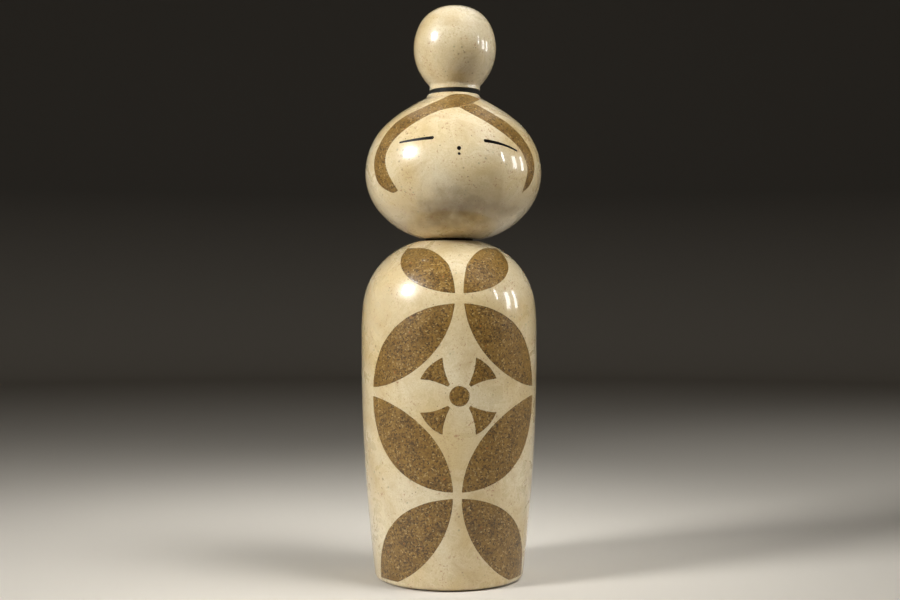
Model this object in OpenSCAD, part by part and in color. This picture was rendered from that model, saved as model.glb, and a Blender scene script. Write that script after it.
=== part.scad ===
// Kokeshi doll: a turned body and a separate turned head that turns on a loose peg and lifts off it,
// with a bun on top and pattern pieces set flush into the surface.
// The doll stands on Z = 0 with its body's axis on Z, and its pattern faces -Y.
// Turned shapes are outlines in (radius, height), walked as curves that join smoothly.

/* [Body] */
// Height of the body, from its base to its flat top
body_h = 210.9; // [170:0.1:260]
// Radius of the body where it is widest
body_r = 55.15; // [54:0.05:70]
// Radius of the long curve that the body narrows on, towards its base
taper_r = 1112; // [700:1:3000]
// Height of the straight stretch between that curve and the shoulder
waist_h = 14.6; // [5:0.1:30]
// Radius of the curve that starts the shoulder
shoulder_side_r = 146.5; // [100:0.5:200]
// Angle that this curve turns through
shoulder_side_turn = 7; // [2:0.5:12]
// Radius of the shoulder
shoulder_r = 45.5; // [42:0.1:46]
// Angle that the shoulder turns through
shoulder_turn = 64.8; // [55:0.1:70]
// Radius of the curve that ends the shoulder on the flat top
shoulder_top_r = 20; // [10:0.5:24]
// Rounding of the edge of the base
base_round = 3; // [2.8:0.1:6]

/* [Head] */
// Radius of the head where it is widest
head_r = 55.45; // [54:0.05:70]
// Radius of the curve under the head, next to its flat underside
chin_r = 20; // [10:0.5:26]
// Angle that this curve turns through
chin_turn = 14.5; // [8:0.5:20]
// Radius of the jaw
jaw_r = 50.2; // [45:0.1:54]
// Angle that the jaw turns through
jaw_turn = 37.4; // [30:0.1:42]
// Radius of the cheek, up to the widest place
cheek_r = 37.5; // [32:0.1:40]
// Radius of the temple, up from the widest place
temple_r = 42.5; // [38:0.1:46]
// Angle that the temple turns through
temple_turn = 49.8; // [45:0.1:54]
// Radius of the slope that runs up to the collar
crown_r = 104; // [90:1:140]
// Radius of the short collar under the bun
collar_r = 16; // [13:0.1:18]
// Radius of the hollow between the slope and the collar
collar_hollow = 6; // [3:0.1:8]
// Angle that the collar's side leans in at its lip
collar_lean = 24; // [5:1:30]
// Rounding of the collar's lip
collar_round = 0.6; // [0.3:0.1:0.8]
// How far the face is turned to the viewer's left of the body's pattern
head_yaw = 3; // [0:0.5:10]
// How far the head's own axis stands to the viewer's right of the neck peg
head_shift = 2.7; // [0:0.1:4]

/* [Bun] */
// Radius of the bun
bun_r = 26; // [25:0.1:33]
// Radius of the bun's lip over the band
bun_lip_r = 15.9; // [14:0.1:18]
// Height of that lip
bun_lip_h = 1.9; // [1:0.1:4]
// Radius of the hollow above the lip
bun_hollow = 3; // [1:0.1:6]
// Lean of the slope from the lip to the ball, from upright
bun_slope = 40.6; // [30:0.1:45]
// Radius of the ball's side
bun_side_r = 32.2; // [26:0.1:34]
// Angle that the side turns through above its widest place
bun_side_turn = 27; // [15:0.5:30]
// Radius of the curve between the side and the top
bun_brow_r = 21.6; // [16:0.1:24]
// Angle that this curve turns through
bun_brow_turn = 44.8; // [35:0.1:50]
// How far the bun's axis stands to the viewer's right of the head's axis
bun_shift = 1; // [0:0.1:2]

/* [Band] */
// Height of the black band between the head and the bun
band_h = 2.7; // [1:0.1:4]
// Radius of the band outside
band_r = 15.8; // [13.5:0.1:16]
// Radius of the bun's neck, which the band is wound on
band_core_r = 13; // [10:0.1:13]
// Room over and under the band
band_room = 0.05; // [0.02:0.01:0.2]

/* [Pegs and washer] */
// Radius of the neck peg
neck_peg_r = 9; // [6:0.1:11]
// Length of the neck peg in the body
neck_peg_down = 40; // [20:1:80]
// Length of the neck peg in the head
neck_peg_up = 46; // [20:1:56]
// Running clearance round the neck peg
neck_play = 0.08; // [0.02:0.01:0.1]
// Radius of the peg between the head and the bun
bun_peg_r = 5; // [3:0.1:7]
// Length of that peg in the head and again in the bun
bun_peg_l = 18; // [10:1:22]
// Glue line round a fixed peg
peg_glue = 0.05; // [0.02:0.01:0.1]
// Room at the blind end of each peg's bore
bore_spare = 2; // [1:0.5:4]
// Chamfer on the ends of the pegs
peg_chamfer = 1.2; // [0.5:0.1:2]
// Thickness of the washer between the body and the head
washer_t = 1.1; // [0.6:0.1:2]
// Radius of the washer
washer_r = 15; // [12.5:0.1:16]
// Room between the washer and the neck peg
washer_room = 0.3; // [0.1:0.1:1]

/* [Base pad] */
// Radius of the felt pad
pad_r = 40; // [20:1:43]
// Thickness of the felt pad
pad_t = 2; // [1:0.1:4]
// How far the pad stands proud of the base
pad_proud = 0.6; // [0.2:0.1:0.9]
// Room round the pad in its recess
pad_room = 0.3; // [0.1:0.1:1]

/* [Pattern] */
// How far under the body's top the middle of the flower is
flower_drop = 93.9; // [80:0.1:110]
// Radius of the linked circles, which is also half of their distance
circle_r = 58.5; // [48:0.5:60]
// How much wider than high the circles are drawn
circle_stretch = 1.085; // [1:0.005:1.15]
// Sideways lean of the pattern, per unit of height
pattern_lean = 0.008; // [0:0.001:0.03]
// Share of the body's narrowing under the flower that the circles make up for by reaching further round
base_spread = 0.5; // [0:0.05:1]
// How far the circles are shifted to the viewer's left of the flower
pattern_shift = 0.4; // [0:0.1:2]
// How much larger and further out the lower circles at the sides are drawn
low_side_extra = 2.4; // [0:0.1:4]
// How far the circles at the sides are moved up or down, away from the flower's level
side_away = 1.4; // [0:0.1:3]
// How far under the flower's middle the circle round it is drawn
flower_circle_drop = 1.2; // [0:0.1:3]
// Pale margin along each circle's line, on either side
circle_margin = 2.4; // [1.5:0.1:4]
// Rounding of the inner corner at the top of the top leaves
leaf_corner_r = 37; // [20:1:45]
// How far out the middle of that rounding is, along the surface
leaf_corner_out = 37; // [30:1:45]
// How far under the body's top the top leaves are cut off
top_margin = 5.2; // [4:0.1:12]
// How far over the body's base the base leaves end
base_margin = 3.3; // [3:0.1:12]
// Radius of the flower's round middle
flower_middle_r = 6.1; // [3:0.1:8]
// Inner radius of the flower's brown flares
flare_inner_r = 8.8; // [8:0.1:12]
// Pale line between the flares and the leaves
flare_gap = 2.6; // [1.5:0.1:6]
// Radius of the edges of the flower's pale petals
petal_edge_r = 36; // [30:0.5:45]
// Half of the width of a pale petal where it is widest
petal_half_w = 9.9; // [8:0.1:12]
// Distance of that place from the flower's middle
petal_reach = 24; // [20:0.5:28]

/* [Inlays] */
// Depth of the pattern and hair inlays
inlay_depth = 2; // [1:0.1:2.5]
// Depth of the eyes, nose and mouth
face_depth = 0.8; // [0.4:0.1:1.5]
// Glue line round each inlay and under it
inlay_glue = 0.05; // [0.02:0.01:0.1]

/* [Face] */
// Height of the inner, thick end of the left eye above the head's underside
left_eye_h = 58.1; // [50:0.1:62]
// The same height of the right eye
right_eye_h = 56.4; // [50:0.1:62]
// Angle of the thick end of the eyes from the middle of the face
eye_inner_turn = 17.6; // [12:0.1:22]
// Angle of the thin end of the eyes from the middle of the face
eye_outer_turn = 41.6; // [34:0.1:48]
// How much lower the thin end of the left eye is
left_eye_drop = 1.9; // [0:0.1:6]
// How much lower the thin end of the right eye is
right_eye_drop = 4.9; // [0:0.1:6]
// Radius of the thick end of the eyes
eye_thick = 0.95; // [0.5:0.05:1.5]
// Radius of the thin end of the eyes
eye_thin = 0.5; // [0.2:0.05:0.8]
// Height of the nose dot above the head's underside
nose_h = 51.5; // [45:0.1:55]
// Radius of the nose dot
nose_r = 1.25; // [0.5:0.05:2]
// Height of the mouth dot above the head's underside
mouth_h = 48.2; // [42:0.1:49]
// Radius of the mouth dot
mouth_r = 0.85; // [0.4:0.05:1]

/* [Hidden] */
$fn = 128;

cream = "#d8c6a2";
grit = "#80653f";
ink = "#17130f";
beech = "#c9a171";
leather = "#3a2a1e";
felt = "#5a3a2c";

// Far enough to cut right through
far = 400;
// Overrun of a cut past the face that it goes through
lap = 1;
// Largest turn of a curve from one point of an outline to the next
facet_turn = 3;

// ---- Smooth outlines ----
// A path is a list of steps. [radius, turn] is a curve that turns left, or right where both are
// negative, and [0, length] is a straight step. Headings are measured from +radius towards +height.

function along(heading, length) = length * [cos(heading), sin(heading)];
function left_of(heading) = [-sin(heading), cos(heading)];
function turned(place, step) =
    step[0] == 0
        ? [place[0] + along(place[1], step[1]), place[1]]
        : [place[0] + step[0] * (left_of(place[1]) - left_of(place[1] + step[1])), place[1] + step[1]];
// Every place on the path: [point, heading], one more than it has steps
function walk(place, path, i = 0) =
    i == len(path) ? [place] : concat([place], walk(turned(place, path[i]), path, i + 1));
// The same path, a depth inside the surface
function sunk(path, depth) = [for (s = path) s[0] == 0 ? s : [s[0] - depth, s[1]]];
// How far a path goes, in radius and height
function travel(heading, path) = walk([[0, 0], heading], path)[len(path)][0];
function centre(place, step) = place[0] + step[0] * left_of(place[1]);
// Points along a path, close enough together that its curves turn a few degrees from each to the next
function points_on(places, path) = concat([places[0][0]], [
    for (i = [0 : len(path) - 1])
        let (n = path[i][0] == 0 ? 1 : ceil(abs(path[i][1]) / facet_turn))
        for (k = [1 : n])
            turned(places[i], [path[i][0], path[i][1] * k / n])[0]
]);

// Solid turned from an outline that starts and ends square to the axis, a depth inside the surface
module turned_solid(start, heading, path, depth = 0) {
    inner = sunk(path, depth);
    points = points_on(walk([start + depth * left_of(heading), heading], inner), inner);
    rotate_extrude()
        polygon(concat([[0, points[0][1]]], points, [[0, points[len(points) - 1][1]]]));
}

// Radius of a path at a height, from the curve or the straight step that passes it
function radius_at(places, path, h, i = 0) =
    i >= len(path) ? places[len(path)][0][0]
    : h > places[i + 1][0][1] ? radius_at(places, path, h, i + 1)
    : path[i][0] == 0 ? places[i][0][0]
        + (h - places[i][0][1]) * cos(places[i][1]) / sin(places[i][1])
    : centre(places[i], path[i])[0]
        + sign(path[i][0]) * sqrt(max(0, pow(path[i][0], 2) - pow(h - centre(places[i], path[i])[1], 2)));

// ---- The body's outline ----
shoulder = [
    [shoulder_side_r, shoulder_side_turn],
    [shoulder_r, shoulder_turn],
    [shoulder_top_r, 90 - shoulder_side_turn - shoulder_turn]
];
body_top = pad_proud + body_h;
shoulder_z = body_top - travel(90, shoulder)[1];
taper_z = shoulder_z - waist_h;
// The taper's turn, down to where the base's rounding takes over
taper_turn = asin((taper_z - pad_proud - base_round) / (taper_r - base_round));
body_path = concat([[base_round, 90 - taper_turn], [taper_r, taper_turn], [0, waist_h]], shoulder);
body_start = [body_r - travel(0, [body_path[0], body_path[1]])[0], pad_proud];
body_places = walk([body_start, 0], body_path);

// Point on the shoulder, a length of surface above its start
function shoulder_point(length, i = 0, place = [[body_r, shoulder_z], 90]) =
    let (whole = i < len(shoulder) ? shoulder[i][0] * shoulder[i][1] * PI / 180 : 0)
    i >= len(shoulder) ? place[0]
    : length > whole ? shoulder_point(length - whole, i + 1, turned(place, shoulder[i]))
    : turned(place, [shoulder[i][0], length / shoulder[i][0] * 180 / PI])[0];

// ---- The head's outline ----
head_low = [[chin_r, chin_turn], [jaw_r, jaw_turn], [cheek_r, 90 - chin_turn - jaw_turn]];
head_z = body_top + washer_t;
head_wide = [head_r, head_z + travel(0, head_low)[1]];
// The slope runs until the hollow that rises to the collar takes over
slope_start = turned([head_wide, 90], [temple_r, temple_turn]);
slope_centre = slope_start[0] + crown_r * left_of(slope_start[1]);
hollow_angle = acos((collar_r + collar_hollow - slope_centre[0]) / (crown_r + collar_hollow));
head_rise = concat(head_low, [
    [temple_r, temple_turn],
    [crown_r, hollow_angle - temple_turn],
    [-collar_hollow, collar_lean - hollow_angle]
]);
head_path = concat(head_rise, [[collar_round, 90 - collar_lean]]);
head_start = [head_r - travel(0, head_low)[0], head_z];
head_places = walk([head_start, 0], head_path);
head_top = head_places[len(head_path)][0][1];

// ---- The bun's outline ----
bun_z = head_top + band_h + 2 * band_room;
// Straight slope that joins the hollow over the lip to the ball
slope_l = (bun_r - bun_lip_r - (bun_hollow + bun_side_r) * (1 - cos(bun_slope))) / sin(bun_slope);
bun_rise = [
    [0, bun_lip_h], [-bun_hollow, -bun_slope], [0, slope_l],
    [bun_side_r, bun_slope + bun_side_turn], [bun_brow_r, bun_brow_turn]
];
bun_last = 90 - bun_side_turn - bun_brow_turn;
bun_top_r = (bun_lip_r + travel(90, bun_rise)[0]) / sin(bun_last);
bun_path = concat(bun_rise, [[bun_top_r, bun_last]]);

// ---- Pattern on the body ----
flower_z = body_top - flower_drop;

// Angle from the front and [radius, height] of a place in the flat pattern, whose middle is the flower's
function pattern_point(p) =
    let (h = flower_z + p[1])
    h > shoulder_z ? shoulder_point(h - shoulder_z) : [radius_at(body_places, body_path, h), h];
function pattern_turn(p) =
    let (narrowing = p[1] < 0 ? body_r - pattern_point(p)[0] : 0)
    (p[0] - pattern_shift + pattern_lean * p[1]) * circle_stretch / (body_r - base_spread * narrowing)
        * 180 / PI;
// The same place as seen square to the surface at the angle az
function seen_at(p, az) =
    let (at = pattern_point(p)) [at[0] * sin(pattern_turn(p) - az), at[1]];

// Circle through three points: [centre, radius]
function through(a, b, c) =
    let (
        d = 2 * (a[0] * (b[1] - c[1]) + b[0] * (c[1] - a[1]) + c[0] * (a[1] - b[1])),
        x = (a * a * (b[1] - c[1]) + b * b * (c[1] - a[1]) + c * c * (a[1] - b[1])) / d,
        y = (a * a * (c[0] - b[0]) + b * b * (a[0] - c[0]) + c * c * (b[0] - a[0])) / d
    )
    [[x, y], norm([x, y] - a)];

// The circles are [middle, radius of the leaf edges inside it]. Those on the middle line are counted up
// from the base's at -1, and those at the sides lie over (1) and under (-1) the flower's level.
leaf_edge_r = circle_r - circle_margin;
function middle_circle(k) = [[0, 2 * k * circle_r - (k == 0 ? flower_circle_drop : 0)], leaf_edge_r];
function side_circle(side, up) =
    let (extra = up < 0 ? low_side_extra : 0)
    [[side * (circle_r + extra), up * (circle_r + side_away)], leaf_edge_r + extra];
flare_outer_r = norm(side_circle(1, 1)[0]) - leaf_edge_r - flare_gap;

// A leaf lies in a circle of the middle line and one at the side. side is -1 on the viewer's left, and
// row counts up from the base leaves at -1 to the top ones at 2.
leaf_limits = [pad_proud + base_margin - flower_z, shoulder_z - flower_z + leaf_ring_length()];

// Length of shoulder surface from its start to the ring where the top leaves are cut off
function leaf_ring_length() =
    let (
        place = turned([[body_r, shoulder_z], 90], shoulder[0]),
        middle = centre(place, shoulder[1]),
        turn = asin((body_top - top_margin - middle[1]) / shoulder_r) - shoulder_side_turn
    )
    (shoulder_side_r * shoulder_side_turn + shoulder_r * turn) * PI / 180;

// Part of a circle's edge, as the circle that is seen square to the surface at the angle az
function seen_ring(ring, angles, az) =
    let (spots = [for (t = [0, 0.5, 1])
        let (a = angles[0] + t * (angles[1] - angles[0])) seen_at(ring[0] + ring[1] * [cos(a), sin(a)], az)])
    through(spots[0], spots[1], spots[2]);

module leaf_outline(side, row, az, grow) {
    inward = middle_circle(row < 0 ? -1 : (row > 1 ? 1 : 0));
    outward = side_circle(side, row > 0 ? 1 : -1);
    intersection() {
        intersection_for (pair = [[inward, outward], [outward, inward]]) {
            across = pair[1][0] - pair[0][0];
            reach = norm(across);
            r = pair[0][1];
            tip = acos((reach * reach + r * r - pow(pair[1][1], 2)) / (2 * reach * r));
            middle_angle = atan2(across[1], across[0]);
            ends = [for (s = [-1, 1]) middle_angle + s * tip];
            heights = [for (e = ends) pair[0][0][1] + r * sin(e)];
            // Where a ring cuts the leaf, the curve is fitted to what is left of it
            kept = [for (h = heights) min(max(h, leaf_limits[0]), leaf_limits[1])];
            angles = [for (i = [0, 1]) kept[i] == heights[i] ? ends[i]
                : edge_angle((kept[i] - pair[0][0][1]) / r, ends[1 - i])];
            ring = seen_ring(pair[0], angles, az);
            translate(ring[0]) circle(r = ring[1] + grow, $fn = 720);
        }
        if (row == 2) top_corner(side, az, grow);
    }
}

// What the rounded inner corner leaves of a top leaf: the rounding's disc, and all that is further out
module top_corner(side, az, grow) {
    middle = [side * leaf_corner_out, leaf_limits[1] - leaf_corner_r];
    ring = seen_ring([middle, leaf_corner_r], side < 0 ? [35, 90] : [145, 90], az);
    translate(ring[0]) circle(r = ring[1] + grow, $fn = 360);
    translate([side < 0 ? -far : seen_at(middle, az)[0], 0])
        square([far + (side < 0 ? seen_at(middle, az)[0] : 0), far]);
}

// Angle at which a leaf's edge passes a share of its radius up, on the same side as another angle of it
function edge_angle(up, near) =
    let (a = asin(max(-1, min(1, up))))
    cos(near) >= 0 ? a : (near < 0 ? -180 - a : 180 - a);

// ---- Cutting tools ----
// A prism that leaves the axis in the direction az
module beam(az) {
    rotate([0, 0, az]) rotate([90, 0, 0]) linear_extrude(height = far / 2) children();
}

module body_form(depth = 0) {
    turned_solid(body_start, 0, body_path, depth);
}

// Inside the surface it stops under the collar's lip, whose rounding is tighter than an inlay is deep
module head_form(depth = 0) {
    turned_solid(head_start, 0, depth > 0 ? head_rise : head_path, depth);
}

module leaf_beam(side, row, grow = 0) {
    az = pattern_turn([side * circle_r / 2, 0]);
    intersection() {
        beam(az) leaf_outline(side, row, az, grow);
        translate([-far / 2, -far / 2, pad_proud + base_margin - grow])
            cube([far, far, body_h - top_margin - base_margin + 2 * grow]);
    }
}

module flare_beam(side, up, grow = 0) {
    beam(0)
        translate([0, flower_z])
            intersection() {
                difference() {
                    circle(r = flare_outer_r + grow);
                    circle(r = flare_inner_r - grow);
                    for (k = [0 : 3])
                        rotate(90 * k)
                            intersection_for (s = [-1, 1])
                                translate([s * (petal_edge_r - petal_half_w), petal_reach])
                                    circle(r = petal_edge_r - grow, $fn = 360);
                }
                translate([side > 0 ? 0 : -far, up > 0 ? 0 : -far]) square(far);
            }
}

module middle_beam(grow = 0) {
    beam(0) translate([0, flower_z]) circle(r = flower_middle_r + grow);
}

// ---- Hair and face, in the head's own place: its axis on Z and the face towards -Y ----
module head_place() {
    translate([head_shift, 0, 0]) rotate([0, 0, -head_yaw]) children();
}

// Edges of the hair as [angle from the middle of the face, height above the head's underside].
// The left lock sweeps from its point at the jaw up over the crown to a leaf point on the right.
hair_apex = [2, 78.8];
hair_notch = [21, 82.4];
left_outer = [[-42.5, 27.4], [-48.5, 26.4], [-57, 30.2], [-62, 35.4], [-64.8, 46], [-63.3, 55.4],
    [-57.5, 68.2], [-50, 74.6], [-37.5, 79.6], [-24, 84.4], [-9.5, 88.5], [12, 89.4], [30, 89.2], [47.5, 87.3]];
left_inner = [hair_apex, [-17.8, 75.9], [-34.2, 68.4], [-46.5, 58.9], [-51.7, 49.5], [-49.8, 40.1],
    [-42.5, 27.4]];
left_leaf = [[47.5, 87.3], [37.5, 85.3], [29, 84], hair_notch];
right_inner = [[48.8, 26.6], [50, 36], [50.5, 42], [45.5, 52], [35.6, 60.2], [21.6, 68.9], [9.3, 75.2], hair_apex];
right_outer = [hair_notch, [27.4, 79.4], [43, 70], [52, 61.4], [58.6, 51.1], [60.2, 42.5], [56.1, 32.2],
    [48.8, 26.6]];

// Smooth curve through the points of a list, with a few steps from each to the next
function curve_spot(p, i, t) =
    let (
        a = p[max(i - 1, 0)], b = p[i], c = p[i + 1], d = p[min(i + 2, len(p) - 1)]
    )
    b + 0.5 * t * (c - a + t * (2 * a - 5 * b + 4 * c - d + t * (3 * (b - c) + d - a)));
function curve(p, steps = 5) = [for (i = [0 : len(p) - 2], k = [0 : steps - 1]) curve_spot(p, i, k / steps)];

// A head angle and height, as seen square to the face
function face_spot(p) =
    [radius_at(head_places, head_path, head_z + p[1]) * sin(p[0]), head_z + p[1]];

// A closed outline, listed clockwise, with each corner moved out by a distance
function grown(p, distance) =
    [for (i = [0 : len(p) - 1])
        let (
            n = len(p),
            before = p[i] - p[(i + n - 1) % n],
            after = p[(i + 1) % n] - p[i],
            way = before / norm(before) + after / norm(after)
        )
        p[i] + distance * [-way[1], way[0]] / norm(way)];

left_hair = [for (p = concat(curve(left_leaf), curve(left_inner), curve(left_outer))) face_spot(p)];
right_hair = [for (p = concat(curve(right_outer), curve(right_inner))) face_spot(p)];

module hair_beam(outline, grow = 0) {
    beam(0) polygon(grown(outline, grow));
}

// An eye: a tapering slit with a round thick end, seen square to the middle of its length
module eye_beam(side, grow = 0) {
    az = side * (eye_inner_turn + eye_outer_turn) / 2;
    half = (eye_outer_turn - eye_inner_turn) / 2;
    inner_z = head_z + (side < 0 ? left_eye_h : right_eye_h);
    outer_z = inner_z - (side < 0 ? left_eye_drop : right_eye_drop);
    inner = [-side * radius_at(head_places, head_path, inner_z) * sin(half), inner_z];
    outer = [side * radius_at(head_places, head_path, outer_z) * sin(half), outer_z];
    way = (outer - inner) / norm(outer - inner);
    up = [-way[1], way[0]];
    beam(az) {
        polygon([inner - (eye_thick + grow) * up, outer - (eye_thin + grow) * up,
            outer + (eye_thin + grow) * up, inner + (eye_thick + grow) * up]);
        translate(inner) circle(r = eye_thick + grow);
    }
}

module dot_beam(h, r, grow = 0) {
    beam(0) translate([0, head_z + h]) circle(r = r + grow);
}

// ---- Pieces ----
module body() {
    color(cream)
        difference() {
            body_form();
            difference() {
                union() {
                    for (side = [-1, 1], row = [-1 : 2])
                        leaf_beam(side, row, inlay_glue);
                    for (side = [-1, 1], up = [-1, 1])
                        flare_beam(side, up, inlay_glue);
                    middle_beam(inlay_glue);
                }
                body_form(inlay_depth + inlay_glue);
            }
            translate([0, 0, body_top - neck_peg_down - bore_spare])
                cylinder(r = neck_peg_r + neck_play, h = far);
            translate([0, 0, -lap])
                cylinder(r = pad_r + pad_room, h = pad_t + lap);
        }
}

module base_pad() {
    color(felt) cylinder(r = pad_r, h = pad_t);
}

// A peg with chamfered ends, up from a height
module peg(r, l, z) {
    rotate_extrude()
        polygon([[0, z], [r - peg_chamfer, z], [r, z + peg_chamfer], [r, z + l - peg_chamfer],
            [r - peg_chamfer, z + l], [0, z + l]]);
}

module neck_peg() {
    color(beech) peg(neck_peg_r, neck_peg_down + washer_t + neck_peg_up, body_top - neck_peg_down);
}

module neck_washer() {
    color(leather)
        translate([0, 0, body_top])
            difference() {
                cylinder(r = washer_r, h = washer_t);
                translate([0, 0, -lap]) cylinder(r = neck_peg_r + washer_room, h = washer_t + 2 * lap);
            }
}

module head() {
    color(cream)
        difference() {
            head_place()
                difference() {
                    head_form();
                    difference() {
                        union() {
                            hair_beam(left_hair, inlay_glue);
                            hair_beam(right_hair, inlay_glue);
                        }
                        head_form(inlay_depth + inlay_glue);
                    }
                    difference() {
                        union() {
                            eye_beam(-1, inlay_glue);
                            eye_beam(1, inlay_glue);
                            dot_beam(nose_h, nose_r, inlay_glue);
                            dot_beam(mouth_h, mouth_r, inlay_glue);
                        }
                        head_form(face_depth + inlay_glue);
                    }
                }
            translate([0, 0, head_z - far + neck_peg_up + bore_spare])
                cylinder(r = neck_peg_r + neck_play, h = far);
            bun_place()
                translate([0, 0, head_top - bun_peg_l - bore_spare])
                    cylinder(r = bun_peg_r + peg_glue, h = far);
        }
}

module bun_place() {
    translate([head_shift + bun_shift, 0, 0]) children();
}

module topknot() {
    color(cream)
        bun_place()
            difference() {
                union() {
                    turned_solid([bun_lip_r, bun_z], 90, bun_path);
                    translate([0, 0, head_top]) cylinder(r = band_core_r, h = bun_z - head_top + lap);
                }
                translate([0, 0, head_top - lap])
                    cylinder(r = bun_peg_r + peg_glue, h = lap + bun_peg_l + bore_spare);
            }
}

module topknot_peg() {
    color(beech) bun_place() peg(bun_peg_r, 2 * bun_peg_l, head_top - bun_peg_l);
}

module topknot_band() {
    color(ink)
        bun_place()
            translate([0, 0, head_top + band_room])
                difference() {
                    cylinder(r = band_r, h = band_h);
                    translate([0, 0, -lap]) cylinder(r = band_core_r + band_room, h = band_h + 2 * lap);
                }
}

module body_inlay() {
    color(grit)
        difference() {
            intersection() {
                body_form();
                children();
            }
            body_form(inlay_depth);
        }
}

module head_inlay(colour, depth) {
    color(colour)
        head_place()
            difference() {
                intersection() {
                    head_form();
                    children();
                }
                head_form(depth);
            }
}

module leaf_top_left() { body_inlay() leaf_beam(-1, 2); }
module leaf_top_right() { body_inlay() leaf_beam(1, 2); }
module leaf_upper_left() { body_inlay() leaf_beam(-1, 1); }
module leaf_upper_right() { body_inlay() leaf_beam(1, 1); }
module leaf_lower_left() { body_inlay() leaf_beam(-1, 0); }
module leaf_lower_right() { body_inlay() leaf_beam(1, 0); }
module leaf_base_left() { body_inlay() leaf_beam(-1, -1); }
module leaf_base_right() { body_inlay() leaf_beam(1, -1); }
module flower_upper_left() { body_inlay() flare_beam(-1, 1); }
module flower_upper_right() { body_inlay() flare_beam(1, 1); }
module flower_lower_left() { body_inlay() flare_beam(-1, -1); }
module flower_lower_right() { body_inlay() flare_beam(1, -1); }
module flower_middle() { body_inlay() middle_beam(); }
module hair_left() { head_inlay(grit, inlay_depth) hair_beam(left_hair); }
module hair_right() { head_inlay(grit, inlay_depth) hair_beam(right_hair); }
module eye_left() { head_inlay(ink, face_depth) eye_beam(-1); }
module eye_right() { head_inlay(ink, face_depth) eye_beam(1); }
module nose_dot() { head_inlay(ink, face_depth) dot_beam(nose_h, nose_r); }
module mouth_dot() { head_inlay(ink, face_depth) dot_beam(mouth_h, mouth_r); }

body();
base_pad();
neck_peg();
neck_washer();
head();
topknot();
topknot_peg();
topknot_band();
leaf_top_left();
leaf_top_right();
leaf_upper_left();
leaf_upper_right();
leaf_lower_left();
leaf_lower_right();
leaf_base_left();
leaf_base_right();
flower_upper_left();
flower_upper_right();
flower_lower_left();
flower_lower_right();
flower_middle();
hair_left();
hair_right();
eye_left();
eye_right();
nose_dot();
mouth_dot();
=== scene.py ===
"""A stone kokeshi doll with inlays, built round its CAD model, in a plain studio.

Shapes are worked out in millimetres and made metres at the end. Z is up, the doll's pattern faces -Y,
and angles round the doll are counted from the front towards +X.
"""
import math

import bmesh
import bpy
import numpy as np
from mathutils import Matrix, Vector, noise


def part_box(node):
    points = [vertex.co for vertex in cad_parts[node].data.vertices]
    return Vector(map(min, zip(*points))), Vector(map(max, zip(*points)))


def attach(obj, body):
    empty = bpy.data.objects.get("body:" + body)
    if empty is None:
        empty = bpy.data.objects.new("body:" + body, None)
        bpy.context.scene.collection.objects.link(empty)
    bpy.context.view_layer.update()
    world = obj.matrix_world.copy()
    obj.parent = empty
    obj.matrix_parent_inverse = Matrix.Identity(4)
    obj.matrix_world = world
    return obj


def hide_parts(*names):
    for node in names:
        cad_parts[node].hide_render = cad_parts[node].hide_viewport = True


bl_info = {
    "name": "Kokeshi doll",
    "version": (1, 0, 0),
    "blender": (4, 5, 0),
    "location": "View3D > Sidebar > Kokeshi",
    "description": "Builds a turned stone kokeshi doll with flush inlays, and a studio round it",
    "category": "Add Mesh",
}

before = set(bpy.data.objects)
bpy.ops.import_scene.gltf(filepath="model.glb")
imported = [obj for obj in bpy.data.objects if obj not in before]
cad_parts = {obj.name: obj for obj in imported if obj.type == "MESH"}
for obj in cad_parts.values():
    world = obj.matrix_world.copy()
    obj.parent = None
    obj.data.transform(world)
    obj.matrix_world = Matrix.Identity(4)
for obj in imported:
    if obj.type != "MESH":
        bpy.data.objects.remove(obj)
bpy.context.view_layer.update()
MM = 0.001


def linear(code):
    """Linear RGBA of an sRGB hex colour."""
    parts = [int(code[i:i + 2], 16) / 255 for i in (1, 3, 5)]
    return tuple(c / 12.92 if c <= 0.04045 else ((c + 0.055) / 1.055) ** 2.4 for c in parts) + (1.0,)


def span(node):
    """Lowest and highest corner of a CAD node, in millimetres."""
    low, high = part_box(node)
    return low / MM, high / MM


# ---- Smooth outlines ----
# A step is (radius, turn): a curve that turns left, or right where both are negative, and
# (0, length) is a straight step. Headings are in degrees, from +radius towards +height.
FINE_TURN = 1.5
FINE_LENGTH = 3.0


def left_of(heading):
    angle = math.radians(heading)
    return Vector((-math.sin(angle), math.cos(angle)))


def turned(place, step):
    """The place at the end of a step."""
    (point, heading), (radius, turn) = place, step
    if radius == 0:
        angle = math.radians(heading)
        return point + turn * Vector((math.cos(angle), math.sin(angle))), heading
    return point + radius * (left_of(heading) - left_of(heading + turn)), heading + turn


def walk(place, steps):
    """Every place from one step to the next."""
    places = [place]
    for step in steps:
        places.append(turned(places[-1], step))
    return places


def travel(heading, steps):
    """How far some steps go, in radius and height."""
    return walk((Vector((0, 0)), heading), steps)[-1][0]


def traced(place, steps, turn=FINE_TURN, length=FINE_LENGTH):
    """Places along the steps that are close enough together for a smooth surface."""
    places = [place]
    for radius, amount in steps:
        long = abs(radius * math.radians(amount)) if radius else amount
        count = math.ceil(max(long / length, abs(amount) / turn if radius else 0, 1))
        places += [turned(place, (radius, amount * k / count)) for k in range(1, count + 1)]
        place = places[-1]
    return places


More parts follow.
